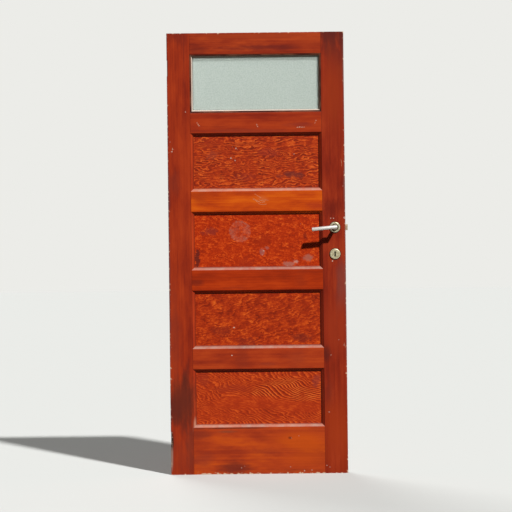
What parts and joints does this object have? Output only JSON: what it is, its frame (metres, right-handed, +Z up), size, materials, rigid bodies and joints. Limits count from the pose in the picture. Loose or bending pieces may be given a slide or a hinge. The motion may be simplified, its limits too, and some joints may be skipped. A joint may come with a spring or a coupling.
{
  "type": "glazed door leaf",
  "caption": "Stile-and-rail door leaf with splayed plywood panels under an obscure-glazed light, mortice lock and lever handles on round roses.",
  "frame": {"origin": "on the hinge edge, half-way up and half-way through the thickness", "axes": "+X from the hinge edge to the lock edge, +Y from the front face to the back, +Z up"},
  "size_m": [0.841, 0.148, 2.07],
  "materials": {
    "frame_wood": "red-brown varnish on softwood, satin, worn",
    "panel_wood": "red-brown varnish on plywood, satin",
    "bead_wood": "red-brown varnish, satin",
    "wedge_wood": "red-brown varnish, satin",
    "obscure_glass": "obscure, finely stippled",
    "lever_alloy": "satin",
    "rose_alloy": "satin",
    "lock_steel": "dull steel",
    "forend_steel": "dull, worn",
    "bolt_brass": "dull, worn"
  },
  "bodies": {
    "door": {"hinge_stile": "frame_wood", "lock_stile": "frame_wood", "top_rail": "frame_wood", "glazing_rail": "frame_wood", "upper_rail": "frame_wood", "middle_rail": "frame_wood", "lower_rail": "frame_wood", "bottom_rail": "frame_wood", "hinge_edge_wedges": "wedge_wood", "lock_edge_wedges": "wedge_wood", "top_panel": "panel_wood", "second_panel": "panel_wood", "third_panel": "panel_wood", "bottom_panel": "panel_wood", "glass_pane": "obscure_glass", "top_bead": "bead_wood", "bottom_bead": "bead_wood", "hinge_side_bead": "bead_wood", "lock_side_bead": "bead_wood", "lock_case": "lock_steel", "lock_forend": "forend_steel", "dead_bolt": "bolt_brass", "front_lever_rose": "rose_alloy", "back_lever_rose": "rose_alloy", "front_key_rose": "rose_alloy", "back_key_rose": "rose_alloy"},
    "levers": {"front_lever": "lever_alloy", "back_lever": "lever_alloy", "lever_spindle": "lock_steel", "lock_follower": "lock_steel"},
    "latch": {"latch_bolt": "bolt_brass"}
  },
  "joints": [
    {"name": "lever_turn", "type": "hinge", "parent": "door", "child": "levers", "pos_m": [0.78, 0, 0.1175], "axis": [0, -1, 0], "range_deg": [0, 40], "stiffness_Nm_per_rad": 1.2, "springref_deg": -20.05},
    {"name": "latch_slide", "type": "slide", "parent": "door", "child": "latch", "axis": [-1, 0, 0], "range_m": [0, 0.011]}
  ],
  "couplings": [
    {"joint": "latch_slide", "follows": "lever_turn", "m_per_rad": 0.01575}
  ]
}
